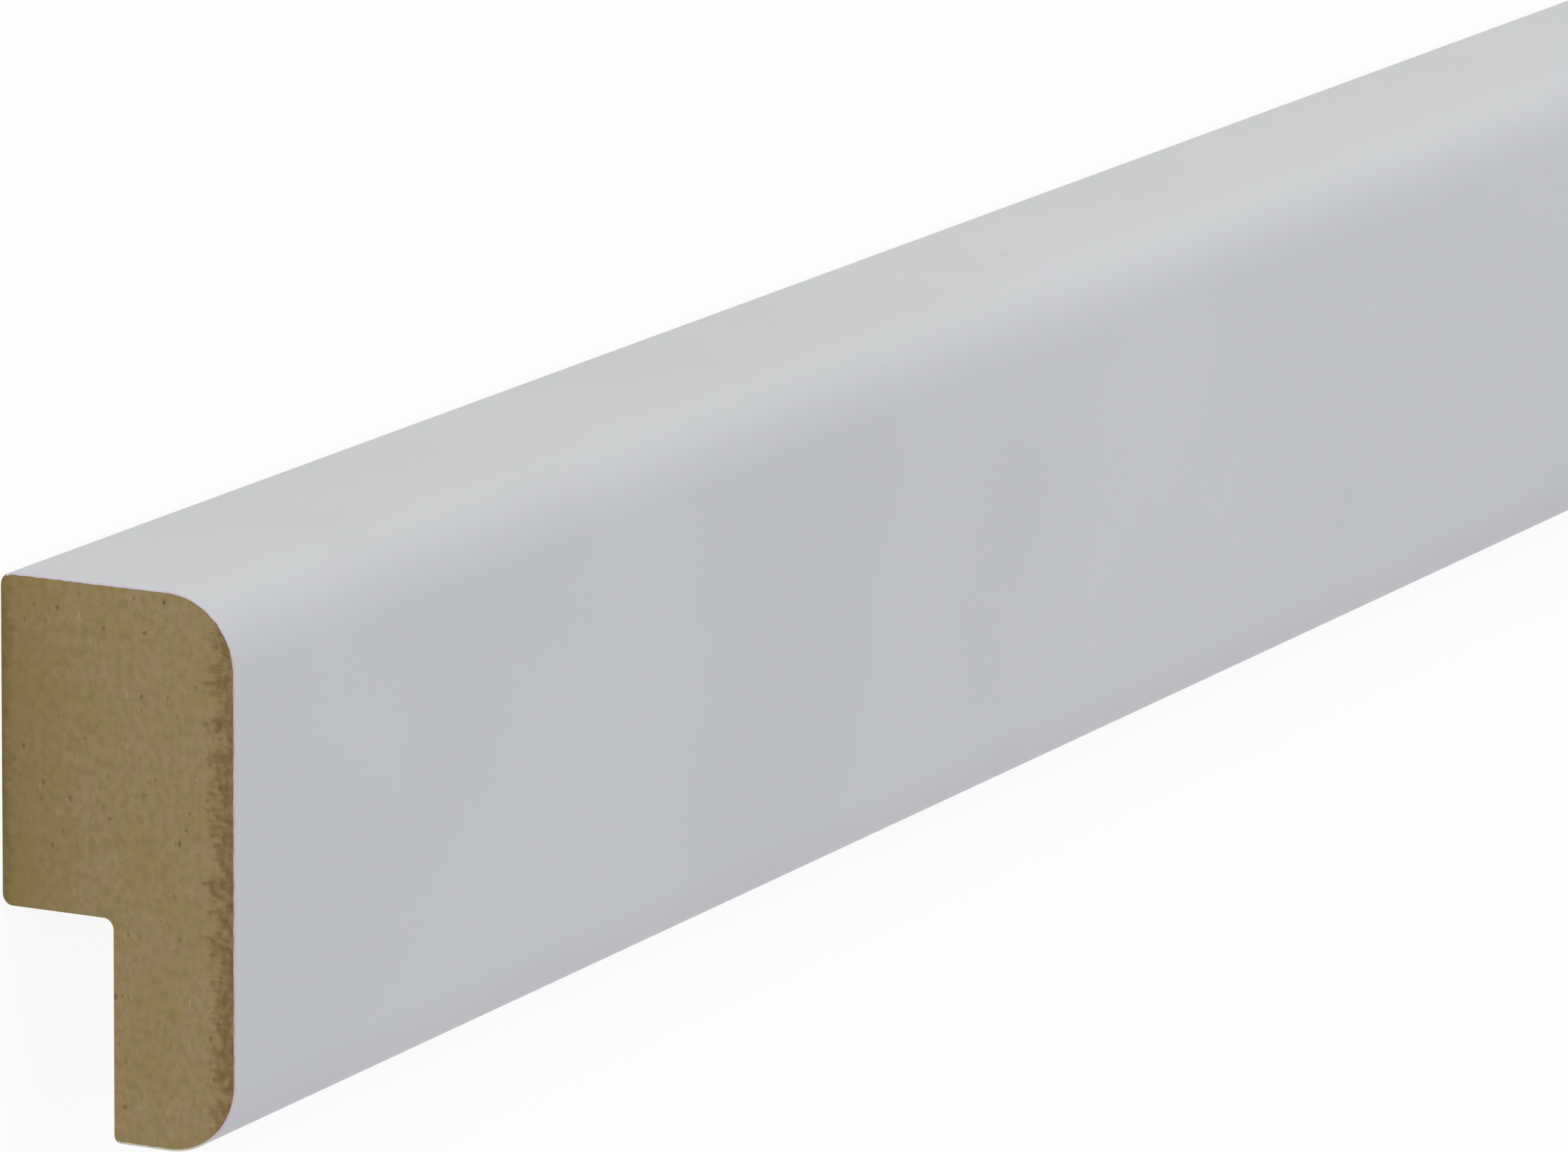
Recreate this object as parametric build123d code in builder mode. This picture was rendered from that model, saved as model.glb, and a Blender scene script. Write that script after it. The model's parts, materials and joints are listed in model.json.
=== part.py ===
"""Picture frame moulding: one straight length of rebated stock, lying on its back with its face up.

X runs along the length, Y across the face from the sight edge to the outer edge, and Z from
the back to the face. The origin is on the back, at mid length and mid width.
All sizes are in millimetres.
"""

import os

from build123d import *

# Stock
length = 2400.0  # as sold, both ends sawn square
face_width = 30.0  # sight edge to outer edge
thickness = 14.0  # back to face

# Rebate that takes the glass, the picture and the backing board
rebate_width = 12.1  # how far the lip covers the glass
rebate_depth = 6.7  # back to the seat of the glass

# Rounded edges of the section
outer_face_radius = 4.0  # face to outer edge
sight_face_radius = 4.0  # face to sight edge
outer_back_radius = 0.7  # outer edge to back
rebate_back_radius = 0.6  # back to rebate wall
rebate_root_radius = 0.6  # rebate wall to seat, left by the cutter
lip_back_radius = 0.4  # seat to sight edge

sight_edge = -face_width / 2
outer_edge = face_width / 2
rebate_wall = sight_edge + rebate_width
near_end = -length / 2

with BuildPart() as moulding:
    # The section is drawn on the near end, with its own X along the part's Y
    with BuildSketch(Plane.YZ.offset(near_end)) as section:
        Rectangle(face_width, thickness, align=(Align.CENTER, Align.MIN))
        with Locations((sight_edge, 0)):
            Rectangle(rebate_width, rebate_depth, align=(Align.MIN, Align.MIN), mode=Mode.SUBTRACT)

        rounded_corners = (
            ((sight_edge, thickness), sight_face_radius),
            ((outer_edge, thickness), outer_face_radius),
            ((outer_edge, 0), outer_back_radius),
            ((rebate_wall, 0), rebate_back_radius),
            ((rebate_wall, rebate_depth), rebate_root_radius),
            ((sight_edge, rebate_depth), lip_back_radius),
        )
        # Each fillet makes a new outline, so the next corner is looked up afresh
        for corner, radius in rounded_corners:
            fillet(section.vertices().sort_by_distance(corner).first, radius)
    extrude(amount=length)

moulding.part.label = "moulding"

os.makedirs("parts", exist_ok=True)
export_step(moulding.part, "parts/moulding.step")
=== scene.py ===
# %% [markdown]
# # A length of picture frame moulding
# The real object is one straight length of fibreboard with a rebate cut along its back and a smooth pale
# coating over its face and edges. It lies on its back with its face up. The CAD model holds its sizes,
# so the script first loads that model as a fixed frame and keeps its box.

# %% Load the frame
import json
import math

import bmesh
import bpy
from mathutils import Matrix, Vector


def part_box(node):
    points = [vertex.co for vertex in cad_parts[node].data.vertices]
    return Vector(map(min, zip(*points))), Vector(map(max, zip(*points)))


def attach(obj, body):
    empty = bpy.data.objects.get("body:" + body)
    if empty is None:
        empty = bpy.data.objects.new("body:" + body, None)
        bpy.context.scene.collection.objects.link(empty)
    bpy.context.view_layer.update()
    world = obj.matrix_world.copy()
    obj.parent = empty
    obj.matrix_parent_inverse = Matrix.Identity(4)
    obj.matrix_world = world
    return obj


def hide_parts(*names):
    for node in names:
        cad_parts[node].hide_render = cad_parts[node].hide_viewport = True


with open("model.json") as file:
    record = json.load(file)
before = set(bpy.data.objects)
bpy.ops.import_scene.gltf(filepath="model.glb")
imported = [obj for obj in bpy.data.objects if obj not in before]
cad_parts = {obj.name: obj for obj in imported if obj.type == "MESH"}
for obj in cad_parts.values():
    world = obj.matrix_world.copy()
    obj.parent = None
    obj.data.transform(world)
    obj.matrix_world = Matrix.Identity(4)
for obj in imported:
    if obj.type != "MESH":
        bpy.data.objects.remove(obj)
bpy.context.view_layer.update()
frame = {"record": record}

# %% [markdown]
# ## Sizes
# Blender works in metres, and the sizes of a moulding are easier to read in millimetres. The box of the
# CAD node gives the length, width and thickness, and the record's mounts give the rebate. Only the radii
# of the rounded edges are written here.

# %% Sizes from the frame
MM = 0.001
low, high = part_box("moulding")
mounts = {mount["name"]: Vector(mount["pos_m"]) for mount in frame["record"]["mounts"]}
seat_height = mounts["rebate_seat"].z
wall_place = mounts["rebate_wall"].y

face_radius = 4.0 * MM
outer_back_radius = 0.7 * MM
rebate_back_radius = 0.6 * MM
rebate_root_radius = 0.6 * MM
lip_back_radius = 0.4 * MM
print("moulding box in mm", [round(size / MM, 2) for size in high - low])
print("rebate seat and wall in mm", [round(place / MM, 2) for place in (seat_height, wall_place)])

# %% [markdown]
# ## Choosing faces and edges
# By hand one clicks on the faces to shape. A script chooses them by where they lie or which way they
# face, so one helper empties the selection and then selects what passes a test, and the others are such
# tests.

# %% Selection by place
same_place = 0.01 * MM
facing_share = 0.9


def select(obj, kind, test):
    """Selects the faces or edges of the mesh in edit mode that pass a test, and nothing else."""
    bpy.ops.mesh.select_all(action="DESELECT")
    bpy.ops.mesh.select_mode(type={"edges": "EDGE", "faces": "FACE"}[kind])
    mesh = bmesh.from_edit_mesh(obj.data)
    chosen = [item for item in getattr(mesh, kind) if test(item)]
    for item in chosen:
        item.select_set(True)
    mesh.select_flush_mode()
    bmesh.update_edit_mesh(obj.data)
    return len(chosen)


def runs_along(edge, y, z):
    """True for an edge that runs the moulding's length at this place of the section."""
    return all(math.hypot(vert.co.y - y, vert.co.z - z) < same_place for vert in edge.verts)


def is_end(face):
    """True for a face of the two sawn ends."""
    return abs(face.normal.x) > facing_share


def is_underside(face):
    """True for a face that looks straight down."""
    return face.normal.z < -facing_share


# %% [markdown]
# ## The rebated section
# The shop cuts the rebate out of a rectangular strip. Here it is easier to go the other way: a cube
# becomes the plank above the rebate, a cut across its underside marks the rebate's wall, and the part
# behind the wall is extruded down to the back. That leaves a closed block with no inner faces. Where the
# extruded part lies flush with the plank, a limited dissolve makes one face of the two.

# %% Plank, then the part behind the rebate
flush_angle = math.radians(1)
bpy.ops.object.select_all(action="DESELECT")
plank_low = Vector((low.x, low.y, seat_height))
bpy.ops.mesh.primitive_cube_add(size=1, location=(plank_low + high) / 2, scale=high - plank_low)
strip = bpy.context.object
strip.name = "moulding_strip"
bpy.ops.object.transform_apply(location=True, rotation=True, scale=True)

bpy.ops.object.mode_set(mode="EDIT")
select(strip, "faces", is_underside)
bpy.ops.mesh.bisect(plane_co=(0, wall_place, 0), plane_no=(0, 1, 0))
select(strip, "faces", lambda face: is_underside(face) and face.calc_center_median().y > wall_place)
bpy.ops.mesh.extrude_region_move(TRANSFORM_OT_translate={"value": (0, 0, low.z - seat_height)})
bpy.ops.mesh.select_all(action="SELECT")
bpy.ops.mesh.normals_make_consistent(inside=False)
bpy.ops.mesh.dissolve_limited(angle_limit=flush_angle)
print("block faces", len(bmesh.from_edit_mesh(strip.data).faces))

# %% [markdown]
# ## Rounded edges
# A moulder rounds the edges with shaped knives. The bevel tool does the same: each long edge is selected
# by its place in the section and gets its own radius. A profile of 0.5 is a circular arc. The large
# radii show a wide soft shade, so they get many segments.

# %% Round the long edges
circular = 0.5
face_segments = 24
back_segments = 8
lip_segments = 6
long_edges = (
    (low.y, high.z, face_radius, face_segments),
    (high.y, high.z, face_radius, face_segments),
    (high.y, low.z, outer_back_radius, back_segments),
    (wall_place, low.z, rebate_back_radius, back_segments),
    (wall_place, seat_height, rebate_root_radius, back_segments),
    (low.y, seat_height, lip_back_radius, lip_segments),
)
for edge_y, edge_z, radius, segments in long_edges:
    select(strip, "edges", lambda edge: runs_along(edge, edge_y, edge_z))
    bpy.ops.mesh.bevel(
        offset_type="OFFSET", offset=radius, segments=segments, profile=circular, affect="EDGES"
    )
print("section corners", len(bmesh.from_edit_mesh(strip.data).verts) // 2)

# %% [markdown]
# ## Cuts along the length
# A flat side that is one face from end to end is fine for its shape, but its picture map would be one
# thin line. Cuts divide the length into equal stretches that can lie beside each other on the map, and
# one more cut near each end keeps the small faces of the sawn ends away from the long ones.

# %% Cut the length into stretches
stretches = 5
end_margin = 2.0 * MM
length = high.x - low.x
stretch_cuts = [low.x + length * i / stretches for i in range(1, stretches)]
for cut in (low.x + end_margin, *stretch_cuts, high.x - end_margin):
    bpy.ops.mesh.select_all(action="SELECT")
    bpy.ops.mesh.bisect(plane_co=(cut, 0, 0), plane_no=(1, 0, 0))
print("stretches", stretches, "each", round(length / stretches / MM), "mm long")

# %% [markdown]
# ## The sawn ends
# The saw cuts through board and coating together, so the coating shows on the end as a thin line around
# the board. An inset gives that line its width. The board inside it is felted wood fibre, which the saw
# leaves slightly rough, so the face inside the inset is cut into a fine grid that can take that
# roughness as shape. The grid is shifted by a part of its step, so that no cut meets a corner of the
# section.

# %% Inset the coating's edge and cut a grid into the board
coating_thickness = 0.1 * MM
grid_step = 0.2 * MM
grid_shift = 0.37
select(strip, "faces", is_end)
bpy.ops.mesh.inset(thickness=coating_thickness, use_individual=True)
bpy.ops.mesh.hide(unselected=True)
for axis, first, last in (((0, 1, 0), low.y, high.y), ((0, 0, 1), low.z, high.z)):
    for i in range(1, round((last - first) / grid_step)):
        bpy.ops.mesh.select_all(action="SELECT")
        cut = first + (i + grid_shift) * grid_step
        bpy.ops.mesh.bisect(plane_co=Vector(axis) * cut, plane_no=axis)
bpy.ops.mesh.reveal(select=False)
print("faces with the sawn ends' grid", len(bmesh.from_edit_mesh(strip.data).faces))

# %% [markdown]
# ## Which faces are coated
# The coating covers the face, both edges and the large radii, and stops on the small radii behind them,
# where the surface has turned to the back. The back, the rebate and the sawn ends are bare board. On the
# ends, the inset faces that touch a coated side are the coating's own edge.

# %% Sort the faces into finishes
COATING, BARE_BOARD, COATING_EDGE = range(3)
turned_to_back = -0.6


def finish_of_side(face):
    """Bare board in the rebate and on the back, and coating on the other sides."""
    middle = face.calc_center_median()
    over_rebate = low.y + lip_back_radius < middle.y < wall_place + rebate_back_radius
    in_rebate = over_rebate and middle.z < high.z - face_radius
    return BARE_BOARD if in_rebate or face.normal.z < turned_to_back else COATING


bpy.ops.object.mode_set(mode="OBJECT")
mesh = bmesh.new()
mesh.from_mesh(strip.data)
for face in mesh.faces:
    if not is_end(face):
        face.material_index = finish_of_side(face)
for face in mesh.faces:
    if is_end(face):
        sides = [side for edge in face.edges for side in edge.link_faces if not is_end(side)]
        coated = any(side.material_index == COATING for side in sides)
        face.material_index = COATING_EDGE if coated else BARE_BOARD
sawn_verts = [
    vert.index
    for vert in mesh.verts
    if all(is_end(face) and face.material_index == BARE_BOARD for face in vert.link_faces)
]
line_verts = [
    vert.index
    for vert in mesh.verts
    if {face.material_index for face in vert.link_faces} == {BARE_BOARD, COATING_EDGE}
]
mesh.to_mesh(strip.data)
mesh.free()
print("sawn points", len(sawn_verts), "points of the coating's line", len(line_verts))

# %% [markdown]
# ## The picture map
# A model that leaves Blender carries its finish as a picture, so the piece gets its own map of where
# each face lies on that picture. Seams around the sawn ends, between the stretches and along one hidden
# edge let the sides unroll flat, and the ends, which are flat already, are projected straight onto the
# map. They have the finest detail, so their share is enlarged before all islands are packed. The map's
# operators act on what is selected in the map, which here follows the mesh.

# %% Unroll the sides and enlarge the ends
map_name = "OFBake"
end_enlargement = 8.0
island_gap = 0.004
seam_place = (wall_place + rebate_back_radius, low.z)


def is_seam(edge):
    """True around the sawn ends, between two stretches and along the hidden edge at the back."""
    at_stretch = any(all(abs(vert.co.x - cut) < same_place for vert in edge.verts) for cut in stretch_cuts)
    around_end = len({is_end(face) for face in edge.link_faces}) == 2
    return at_stretch or around_end or runs_along(edge, *seam_place)


bpy.ops.object.mode_set(mode="EDIT")
bpy.context.scene.tool_settings.use_uv_select_sync = True
seams = select(strip, "edges", is_seam)
bpy.ops.mesh.mark_seam(clear=False)
strip.data.uv_layers.active.name = map_name
bpy.ops.mesh.select_all(action="SELECT")
bpy.ops.uv.unwrap(method="CONFORMAL")
end_faces = select(strip, "faces", is_end)
bpy.ops.uv.cube_project(cube_size=1.0, scale_to_bounds=False)
bpy.ops.mesh.select_all(action="SELECT")
bpy.ops.uv.average_islands_scale()
mesh = bmesh.from_edit_mesh(strip.data)
layer = mesh.loops.layers.uv[map_name]
for face in mesh.faces:
    if is_end(face):
        for loop in face.loops:
            loop[layer].uv *= end_enlargement
bmesh.update_edit_mesh(strip.data)
bpy.ops.uv.pack_islands(rotate=True, scale=True, margin=island_gap)
bpy.ops.object.mode_set(mode="OBJECT")
print("seam edges", seams, "and end faces laid flat", end_faces)

# %% [markdown]
# ## Roughness of the sawn board
# Displacement pushes the grid's points into the end by a cloud texture: a fine felt everywhere, and
# deeper tears in the dense skin under the face, where the saw breaks out fibres. A middle level of 0
# only pushes inwards, so the ends keep their place. Vertex groups say which points take part and how
# much. The line between coating and board wanders a little to both sides, with its middle level at a
# half.

# %% Press the felt and the torn skin into the ends
felt_grain, felt_depth = 0.35 * MM, 0.035 * MM
tear_grain, tear_depth = 0.5 * MM, 0.11 * MM
line_grain, line_wander = 0.3 * MM, 0.08 * MM
torn_skin_depth = 1.0 * MM
cloud_detail = 3

strip.vertex_groups.new(name="sawn_felt").add(sawn_verts, 1.0, "REPLACE")
strip.vertex_groups.new(name="coating_line").add(line_verts, 1.0, "REPLACE")
torn_skin = strip.vertex_groups.new(name="torn_skin")
for index in sawn_verts:
    under_face = high.z - strip.data.vertices[index].co.z
    torn_skin.add([index], max(0.0, 1.0 - under_face / torn_skin_depth), "REPLACE")


def press(group_name, grain, depth, direction="NORMAL", mid_level=0.0):
    """Displaces a vertex group by a cloud texture of this grain size."""
    texture = bpy.data.textures.new(group_name, type="CLOUDS")
    texture.noise_scale = grain
    texture.noise_depth = cloud_detail
    displace = strip.modifiers.new(group_name, "DISPLACE")
    displace.texture = texture
    displace.texture_coords = "LOCAL"
    displace.vertex_group = group_name
    displace.direction = direction
    displace.mid_level = mid_level
    displace.strength = -depth
    bpy.ops.object.modifier_apply(modifier=displace.name)


press("sawn_felt", felt_grain, felt_depth)
press("torn_skin", tear_grain, tear_depth)
for direction in ("Y", "Z"):
    press("coating_line", line_grain, line_wander, direction, mid_level=0.5)
places = [strip.data.vertices[index].co.x for index in sawn_verts]
depths = [min(place - low.x, high.x - place) for place in places]
print("deepest point of the sawn ends", round(max(depths) / MM, 3), "mm")

# %% [markdown]
# ## Smooth radii, flat sides
# Smooth shading blends the light over the segments of each radius. On its own it would also shade the
# flat sides, because they share points with the radii, so a Weighted Normal modifier lets the large
# faces decide.

# %% Shade the radii smooth
smooth_angle = math.radians(35)
large_faces_decide = 100
bpy.ops.object.shade_smooth_by_angle(angle=smooth_angle)
weighted = strip.modifiers.new("flat_sides", "WEIGHTED_NORMAL")
weighted.mode = "FACE_AREA"
weighted.weight = large_faces_decide
weighted.keep_sharp = True
bpy.ops.object.modifier_apply(modifier=weighted.name)
print("triangles", sum(len(face.vertices) - 2 for face in strip.data.polygons))

# %% [markdown]
# ## Helpers for finishes
# A finish is a small network of nodes. These helpers keep its script short: one adds a node and fills in
# its inputs, where an input is a plain value or the output of an earlier node, and one turns a colour
# picked from the photograph into the linear values that Blender mixes.


# %% Node helpers
def linear(red, green, blue):
    """A colour of 0 to 255 a channel, as linear light with full opacity."""
    parts = [value / 255 for value in (red, green, blue)]
    return (*(part / 12.92 if part < 0.04045 else ((part + 0.055) / 1.055) ** 2.4 for part in parts), 1.0)


def fill(tree, socket, value):
    """Links an input to the output of an earlier node, or sets it to a plain value."""
    if isinstance(value, bpy.types.NodeSocket):
        tree.links.new(value, socket)
    else:
        socket.default_value = value


def add(tree, kind, settings=None, **inputs):
    """Adds a node, sets its own settings, and fills inputs by name, or by number as i0, i1 and so on."""
    node = tree.nodes.new("ShaderNode" + kind)
    for name, value in (settings or {}).items():
        setattr(node, name, value)
    for name, value in inputs.items():
        numbered = name[0] == "i" and name[1:].isdigit()
        fill(tree, node.inputs[int(name[1:]) if numbered else name.replace("_", " ")], value)
    return node


def math_node(tree, operation, first, second=0.0, third=0.0):
    return add(tree, "Math", {"operation": operation}, i0=first, i1=second, i2=third).outputs[0]


def fade(tree, value, start, end, least=0.0, most=1.0):
    """The least value at start and the most at end, smooth between them and level beyond."""
    settings = {"interpolation_type": "SMOOTHSTEP"}
    limits = {"From_Min": start, "From_Max": end, "To_Min": least, "To_Max": most}
    return add(tree, "MapRange", settings, Value=value, **limits).outputs["Result"]


def between(tree, value, least, most):
    """The least value at 0 and the most at 1, in a straight line."""
    return add(tree, "MapRange", Value=value, To_Min=least, To_Max=most).outputs["Result"]


def mix_colour(tree, share, first, second):
    """The first colour at a share of 0 and the second at 1."""
    return add(tree, "Mix", {"data_type": "RGBA"}, i0=share, i6=first, i7=second).outputs[2]


# %% [markdown]
# ## A finish begins and ends
# All three finishes start with a material whose pattern is laid out in millimetres on the piece itself,
# and end in the same inputs of the Principled shader: a colour, a roughness, and a bump for what is too
# fine to model.


# %% Start and end of a finish
def new_material(name):
    """A material with its Principled shader, and Object coordinates in millimetres."""
    material = bpy.data.materials.new(name)
    material.use_nodes = True
    tree = material.node_tree
    place = add(tree, "TexCoord").outputs["Object"]
    millimetres = add(tree, "Mapping", Vector=place, Scale=(1 / MM,) * 3).outputs["Vector"]
    return material, tree, tree.nodes["Principled BSDF"], millimetres


def end_finish(tree, shader, colour, roughness, height, strength, depth):
    """Gives the shader its colour and roughness, and the bump of a height pattern of this depth."""
    bump = add(tree, "Bump", Height=height, Strength=strength, Distance=depth).outputs["Normal"]
    for name, value in (("Base Color", colour), ("Roughness", roughness), ("Normal", bump)):
        fill(tree, shader.inputs[name], value)


# %% [markdown]
# ## Felted fibre
# Fibreboard is wood fibre pressed into layers that lie flat in the board, so its grain is short, fine
# and a little longer along the layers than through them. The bare board shows this as colour and
# roughness, and it telegraphs very faintly through the coating, so the pattern is a node group that all
# finishes use. Its noises mostly stay between 0.3 and 0.7, which is a useful range for a mask.

# %% Node group for the fibre
grain_stretch = (0.7, 0.7, 1.0)
strand_stretch = (0.4, 0.4, 1.2)
usual_noise = (0.3, 0.7)


def make_fibre_group():
    """Five patterns, from fine grain and its tint to patches some millimetres wide."""
    group = bpy.data.node_groups.new("felted_fibre", "ShaderNodeTree")
    group.interface.new_socket("Millimetres", in_out="INPUT", socket_type="NodeSocketVector")
    for name in ("Grain", "Tint", "Strands", "Clumps", "Patches"):
        group.interface.new_socket(name, in_out="OUTPUT", socket_type="NodeSocketFloat")
    start = group.nodes.new("NodeGroupInput").outputs["Millimetres"]
    end = group.nodes.new("NodeGroupOutput")
    lying = add(group, "Mapping", Vector=start, Scale=grain_stretch).outputs["Vector"]
    drawn_out = add(group, "Mapping", Vector=start, Scale=strand_stretch).outputs["Vector"]
    noises = {
        "Grain": add(group, "TexNoise", Vector=lying, Scale=2.5, Detail=3.0, Roughness=0.5),
        "Strands": add(group, "TexNoise", Vector=drawn_out, Scale=2.4, Detail=1.0, Distortion=0.4),
        "Clumps": add(group, "TexNoise", Vector=start, Scale=0.9, Detail=2.0, Roughness=0.5),
        "Patches": add(group, "TexNoise", Vector=start, Scale=0.28, Detail=2.0, Roughness=0.5),
    }
    for name, noise in noises.items():
        group.links.new(noise.outputs[0], end.inputs[name])
    channels = add(group, "SeparateColor", Color=noises["Grain"].outputs["Color"]).outputs
    group.links.new(channels["Green"], end.inputs["Tint"])
    return group


fibre_group = make_fibre_group()


def add_fibre(tree, millimetres):
    """Places the fibre group in a material and returns its outputs."""
    node = tree.nodes.new("ShaderNodeGroup")
    node.node_tree = fibre_group
    tree.links.new(millimetres, node.inputs["Millimetres"])
    return node.outputs


print("fibre group nodes", len(fibre_group.nodes))

# %% [markdown]
# ## Bare board: felt
# The sawn end is khaki brown. It drifts slowly between olive and tan, and redder fibre, darker grain and
# a few pale strands lie in it. Each of these is a mask from the fibre group that mixes in one more
# colour.

# %% Colour of the felt
olive = linear(142, 126, 80)
tan = linear(147, 129, 95)
red_fibre = linear(148, 123, 92)
dark_grain = linear(120, 105, 68)
pale_strand = linear(170, 154, 118)
patch_weight = 1.4
felt_drift_limits = (0.9, 1.5)


def felt_colour(tree, fibre):
    """Olive to tan in slow drifts, and each fibre colour laid in by its mask, limits and share."""
    slow = math_node(tree, "MULTIPLY_ADD", fibre["Patches"], patch_weight, fibre["Clumps"])
    colour = mix_colour(tree, fade(tree, slow, *felt_drift_limits), olive, tan)
    for mask, start, end, share, fibre_colour in (
        ("Tint", 0.35, 0.65, 0.45, red_fibre),
        ("Grain", 0.35, 0.7, 0.44, dark_grain),
        ("Strands", 0.66, 0.85, 0.5, pale_strand),
    ):
        colour = mix_colour(tree, fade(tree, fibre[mask], start, end, most=share), colour, fibre_colour)
    return colour


# %% [markdown]
# ## Bare board: dense skins
# Under the face and at the back the board is pressed denser, and there the saw leaves a darker, ragged
# band. The band depends only on the depth in the board, so it ends where the large radii have cut the
# dense skin away. Two noises shift its border: broad lumps, and short dashes that run into the board
# where fibres tore. Towards the back the board also gets a little warmer.

# %% Darker skins under the face and at the back
warm_board = linear(133, 113, 60)
warm_limits, warm_share = (6.5, 0.3), 0.3
front_skin_colour = linear(108, 87, 50)
front_skin_limits, front_skin_shares = (1.65, 0.65), (0.35, 0.9)
back_skin_colour = linear(117, 102, 64)
back_skin_limits, back_skin_shares = (0.85, 0.05), (0.51, 0.84)
back_skin_raggedness = 0.5
lump_stretch, lump_shift = (1.0, 1.0, 0.6), 2.8
dash_stretch, dash_shift = (1.0, 3.0, 1.0), 1.9
noise_middle = 0.5


def border_shift(tree, millimetres):
    """How far the border of a skin lies off its mean depth, in millimetres to both sides."""
    lump_place = add(tree, "Mapping", Vector=millimetres, Scale=lump_stretch).outputs["Vector"]
    lumps = add(tree, "TexNoise", Vector=lump_place, Scale=0.9, Detail=2.0, Roughness=0.5).outputs[0]
    dash_place = add(tree, "Mapping", Vector=millimetres, Scale=dash_stretch).outputs["Vector"]
    dashes = add(tree, "TexNoise", Vector=dash_place, Scale=1.4, Detail=2.0).outputs[0]
    lumps, dashes = (math_node(tree, "SUBTRACT", noise, noise_middle) for noise in (lumps, dashes))
    shift = math_node(tree, "MULTIPLY", lumps, lump_shift)
    return math_node(tree, "MULTIPLY_ADD", dashes, dash_shift, shift)


def add_skin(tree, colour, depth, limits, grain, shares, skin_colour):
    """Mixes in a skin's colour where the depth is small, in shares that follow the grain."""
    blotches = fade(tree, grain, *usual_noise, *shares)
    skin = math_node(tree, "MULTIPLY", fade(tree, depth, *limits), blotches)
    return mix_colour(tree, skin, colour, skin_colour)


def add_skins(tree, colour, grain, millimetres):
    """Warms the colour towards the back, and darkens it under the face and at the back."""
    height = add(tree, "SeparateXYZ", Vector=millimetres).outputs["Z"]
    warmth = fade(tree, height, *warm_limits, most=warm_share)
    colour = mix_colour(tree, warmth, colour, warm_board)
    shift = border_shift(tree, millimetres)
    under_face = math_node(tree, "SUBTRACT", high.z / MM, height)
    depth = math_node(tree, "ADD", under_face, shift)
    colour = add_skin(tree, colour, depth, front_skin_limits, grain, front_skin_shares, front_skin_colour)
    depth = math_node(tree, "MULTIPLY_ADD", shift, back_skin_raggedness, height)
    return add_skin(tree, colour, depth, back_skin_limits, grain, back_skin_shares, back_skin_colour)


# %% [markdown]
# ## Bare board: bark
# A few dark specks are bits of bark that went through the mill. A Voronoi pattern puts one speck in each
# of its cells, and the cell's random colour decides how large and how dark it is. Most stay nearly
# invisible.

# %% Specks of bark
bark_colour = linear(78, 61, 35)
bark_wander = 0.15
bark_stretch = (0.6, 0.65, 1.0)
bark_radius, bark_rim = (0.1, 0.23), (-0.08, 0.14)
bark_darkness, dark_chance = (0.05, 0.8), (0.45, 1.0)


def add_bark(tree, colour, millimetres):
    """Darkens the colour in specks whose outlines wander."""
    wander = add(tree, "TexNoise", Vector=millimetres, Scale=4.0, Detail=1.0).outputs["Color"]
    settings = {"operation": "MULTIPLY_ADD"}
    bent = add(tree, "VectorMath", settings, i0=wander, i1=(bark_wander,) * 3, i2=millimetres).outputs[0]
    lying = add(tree, "Mapping", Vector=bent, Scale=bark_stretch).outputs["Vector"]
    bark = add(tree, "TexVoronoi", Vector=lying, Scale=1.8)
    chance = add(tree, "SeparateColor", Color=bark.outputs["Color"]).outputs
    radius = fade(tree, chance["Red"], 0.0, 1.0, *bark_radius)
    darkness = fade(tree, chance["Green"], *dark_chance, *bark_darkness)
    inside = math_node(tree, "SUBTRACT", radius, bark.outputs["Distance"])
    specks = math_node(tree, "MULTIPLY", fade(tree, inside, *bark_rim), darkness)
    return mix_colour(tree, specks, colour, bark_colour)


# %% [markdown]
# ## Bare board: the whole finish
# Felt, skins and bark are laid over each other in this order. The board is dull, so its roughness is high
# and its shine low, and its bump is the grain together with the clumps.

# %% Finish of the bare board
board_roughness = (0.82, 0.96)
board_shine = 0.2
board_bump, board_bump_depth = 0.5, 0.08 * MM


def make_bare_board():
    material, tree, shader, millimetres = new_material("bare_board")
    fibre = add_fibre(tree, millimetres)
    colour = felt_colour(tree, fibre)
    colour = add_skins(tree, colour, fibre["Grain"], millimetres)
    colour = add_bark(tree, colour, millimetres)
    roughness = between(tree, fibre["Grain"], *board_roughness)
    height = math_node(tree, "ADD", fibre["Grain"], fibre["Clumps"])
    shader.inputs["Specular IOR Level"].default_value = board_shine
    end_finish(tree, shader, colour, roughness, height, board_bump, board_bump_depth)
    return material


# %% [markdown]
# ## Coating
# The coating is a smooth satin film of cool pale grey. Seen closely it has a faint orange peel, a trace
# of the fibre below it, slow drifts in tone, and here and there a nib of dust under the film.

# %% Finish of the coating
cool_grey = linear(181, 183, 187)
light_grey = linear(184, 186, 190)
nib_grey = linear(150, 151, 152)
nib_chance, nib_radius = (0.4, 1.0), 0.022
nib_rim, nib_share = 0.012, 0.35
fibre_trace = 0.15
coating_roughness = (0.5, 0.6)
coating_shine = 0.15
peel_bump, peel_depth = 0.35, 0.01 * MM


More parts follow.
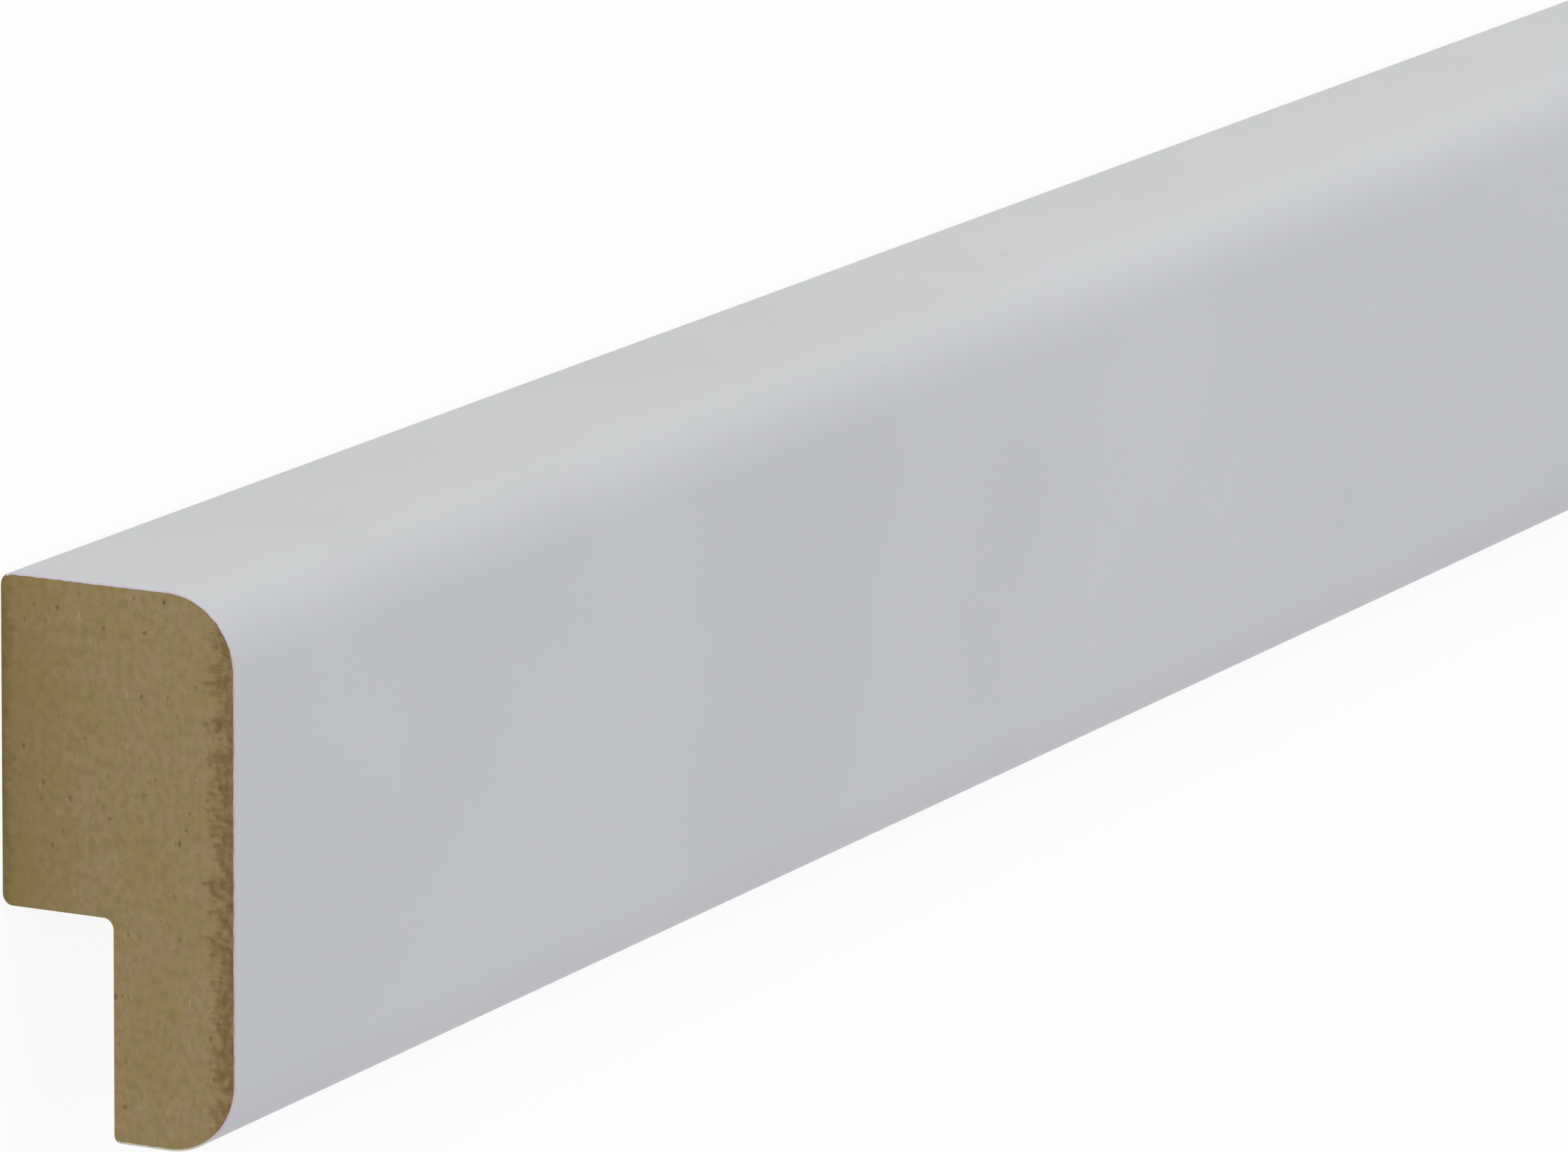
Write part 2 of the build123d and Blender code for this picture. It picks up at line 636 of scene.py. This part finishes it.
def make_coating():
    material, tree, shader, millimetres = new_material("satin_coating")
    fibre = add_fibre(tree, millimetres)
    drift = add(tree, "TexNoise", Vector=millimetres, Scale=0.035, Detail=2.0).outputs[0]
    colour = mix_colour(tree, fade(tree, drift, *usual_noise), cool_grey, light_grey)
    cell = add(tree, "TexVoronoi", Vector=millimetres, Scale=0.085).outputs
    chance = add(tree, "SeparateColor", Color=cell["Color"]).outputs["Red"]
    radius = fade(tree, chance, *nib_chance, most=nib_radius)
    nibs = fade(tree, math_node(tree, "SUBTRACT", radius, cell["Distance"]), 0.0, nib_rim)
    colour = mix_colour(tree, math_node(tree, "MULTIPLY", nibs, nib_share), colour, nib_grey)

    peel = add(tree, "TexNoise", Vector=millimetres, Scale=0.9, Detail=1.0).outputs[0]
    roughness = between(tree, peel, *coating_roughness)
    height = math_node(tree, "MULTIPLY_ADD", fibre["Grain"], fibre_trace, peel)
    height = math_node(tree, "ADD", height, nibs)
    shader.inputs["Specular IOR Level"].default_value = coating_shine
    end_finish(tree, shader, colour, roughness, height, peel_bump, peel_depth)
    return material


# %% [markdown]
# ## The coating's cut edge
# On the sawn end the coating is a thin pale line, a little pinker than its face because the glue under
# it shows. Towards the outer edge it turns lilac, and at the sight edge a warm grey.

# %% Finish of the cut edge
whole_pink = linear(199, 172, 188)
chipped_pink = linear(190, 153, 156)
outer_lilac = linear(203, 194, 208)
sight_grey = linear(188, 186, 172)
outer_limits = (high.y / MM - 5.0, high.y / MM - 1.5)
sight_limits = (low.y / MM + 2.0, low.y / MM + 0.5)
cut_roughness = 0.7
cut_bump, cut_bump_depth = 0.4, 0.03 * MM


def make_coating_edge():
    material, tree, shader, millimetres = new_material("coating_edge")
    fibre = add_fibre(tree, millimetres)
    across = add(tree, "SeparateXYZ", Vector=millimetres).outputs["Y"]
    colour = mix_colour(tree, fade(tree, fibre["Clumps"], *usual_noise), whole_pink, chipped_pink)
    colour = mix_colour(tree, fade(tree, across, *outer_limits), colour, outer_lilac)
    colour = mix_colour(tree, fade(tree, across, *sight_limits), colour, sight_grey)
    end_finish(tree, shader, colour, cut_roughness, fibre["Grain"], cut_bump, cut_bump_depth)
    return material


for material in (make_coating(), make_bare_board(), make_coating_edge()):
    strip.data.materials.append(material)
print("finishes", [material.name for material in strip.data.materials])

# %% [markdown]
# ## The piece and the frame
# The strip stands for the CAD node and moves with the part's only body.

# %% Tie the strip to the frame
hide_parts("moulding")
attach(strip, "root")
print("tied to the frame", strip.name)

# %% [markdown]
# ## Floor and background
# The moulding lies on a plain pale floor that runs out to a white background. Seen by the camera, floor
# and world are white, but a share of the floor is still a lit surface, so that it keeps the soft shadow.


# %% Rays that see the background
def seen_directly(tree):
    """1 for camera rays and for reflected or refracted views, 0 for rays that light the object."""
    path = add(tree, "LightPath").outputs
    seen = math_node(tree, "MAXIMUM", path["Is Camera Ray"], path["Is Glossy Ray"])
    return math_node(tree, "MAXIMUM", seen, path["Is Transmission Ray"])


# %% Floor
white = (1.0, 1.0, 1.0, 1.0)
floor_grey = (0.94, 0.94, 0.94, 1.0)
floor_size = 400.0
floor_height = low.z - 0.02 * MM
floor_white_share = 0.9
bpy.ops.object.select_all(action="DESELECT")
bpy.ops.mesh.primitive_plane_add(size=floor_size, location=(0, 0, floor_height))
floor = bpy.context.object
floor.name = "floor"

floor_paint = bpy.data.materials.new("floor_paint")
floor_paint.use_nodes = True
tree = floor_paint.node_tree
tree.nodes.remove(tree.nodes["Principled BSDF"])
lit = add(tree, "BsdfDiffuse", Color=floor_grey).outputs["BSDF"]
glow = add(tree, "Emission", Color=white, Strength=1.0).outputs["Emission"]
share = math_node(tree, "MULTIPLY", seen_directly(tree), floor_white_share)
surface = add(tree, "MixShader", i0=share, i1=lit, i2=glow).outputs["Shader"]
tree.links.new(surface, tree.nodes["Material Output"].inputs["Surface"])
floor.data.materials.append(floor_paint)
print("floor", round((low.z - floor_height) / MM, 3), "mm below the back")

# %% [markdown]
# ## White room
# Where the camera sees past the floor, the world is plain white. As light on the object it is weaker,
# because the lamps add the rest.

# %% World
room_light = 0.49
world = bpy.data.worlds.new("white_room")
bpy.context.scene.world = world
world.use_nodes = True
tree = world.node_tree
tree.nodes["Background"].inputs["Color"].default_value = white
strength = between(tree, seen_directly(tree), room_light, 1.0)
tree.links.new(strength, tree.nodes["Background"].inputs["Strength"])
print("room light", room_light)

# %% [markdown]
# ## Light
# Three soft lamps, longer than the moulding, light it evenly. The main one hangs high on the side of the
# outer edge, a low and slightly warmer one makes that edge the brightest side, and one fills in from the
# sight edge so that the face stays even up to its radii. A smaller and weaker one faces the sawn end.

# %% Soft lamps
plain_light = (1.0, 1.0, 1.0)
warm_light = (1.0, 0.98, 0.76)


def soft_lamp(name, place, size, power, colour):
    """An area lamp of this length and depth in metres and power in watts that looks at the origin."""
    lamp = bpy.data.lights.new(name, "AREA")
    lamp.color = colour
    lamp.shape = "RECTANGLE"
    lamp.size, lamp.size_y = size
    lamp.energy = power
    lamp_object = bpy.data.objects.new(name, lamp)
    lamp_object.location = place
    lamp_object.rotation_euler = (-Vector(place)).to_track_quat("-Z", "Y").to_euler()
    lamp_object.visible_camera = False
    bpy.context.collection.objects.link(lamp_object)


soft_lamp("main_lamp", (0.0, 2.28, 2.43), (5.0, 2.0), 82, plain_light)
soft_lamp("outer_edge_lamp", (0.0, 3.94, 0.6), (5.0, 0.4), 27, warm_light)
soft_lamp("sight_edge_lamp", (0.0, -2.9, 1.55), (5.0, 1.5), 47, plain_light)
soft_lamp("end_lamp", (-4.2, 0.3, 0.6), (2.0, 1.0), 21, plain_light)
print("lamps", [lamp.name for lamp in bpy.data.lights])

# %% [markdown]
# ## Camera
# The photograph looks along the moulding from beyond its near end with a long lens, and the outer edge
# is up in the picture. Because the moulding lies on its back here, the camera looks down on it and is
# turned on its side. It aims at a point on the face, the outer edge's direction decides which way is up,
# and a slight roll follows the photograph's own tilt.

# %% Camera at the photograph's viewing angle
camera_place = Vector((low.x - 508.8 * MM, 144.1 * MM, 301.5 * MM))
aim_point = Vector((low.x + 63.2 * MM, 4.13 * MM, high.z))
camera_roll = math.radians(0.48)
lens_length = 265.6
sensor_width = 36.0

forward = (aim_point - camera_place).normalized()
right = forward.cross(Vector((0, 1, 0))).normalized()
up = right.cross(forward)
turn = Matrix((right, up, -forward)).transposed().to_4x4()
camera = bpy.data.cameras.new("camera")
camera.lens = lens_length
camera.sensor_width = sensor_width
camera.sensor_fit = "HORIZONTAL"
camera.clip_end = 2 * floor_size
camera_object = bpy.data.objects.new("camera", camera)
camera_object.matrix_world = Matrix.Translation(camera_place) @ turn @ Matrix.Rotation(camera_roll, 4, "Z")
bpy.context.collection.objects.link(camera_object)
bpy.context.scene.camera = camera_object
bpy.context.scene.view_settings.view_transform = "Standard"
print("camera", round((aim_point - camera_place).length, 3), "m from the point it aims at")

# %% End of the scene
print("scene set up: strip, floor, lamps and camera")
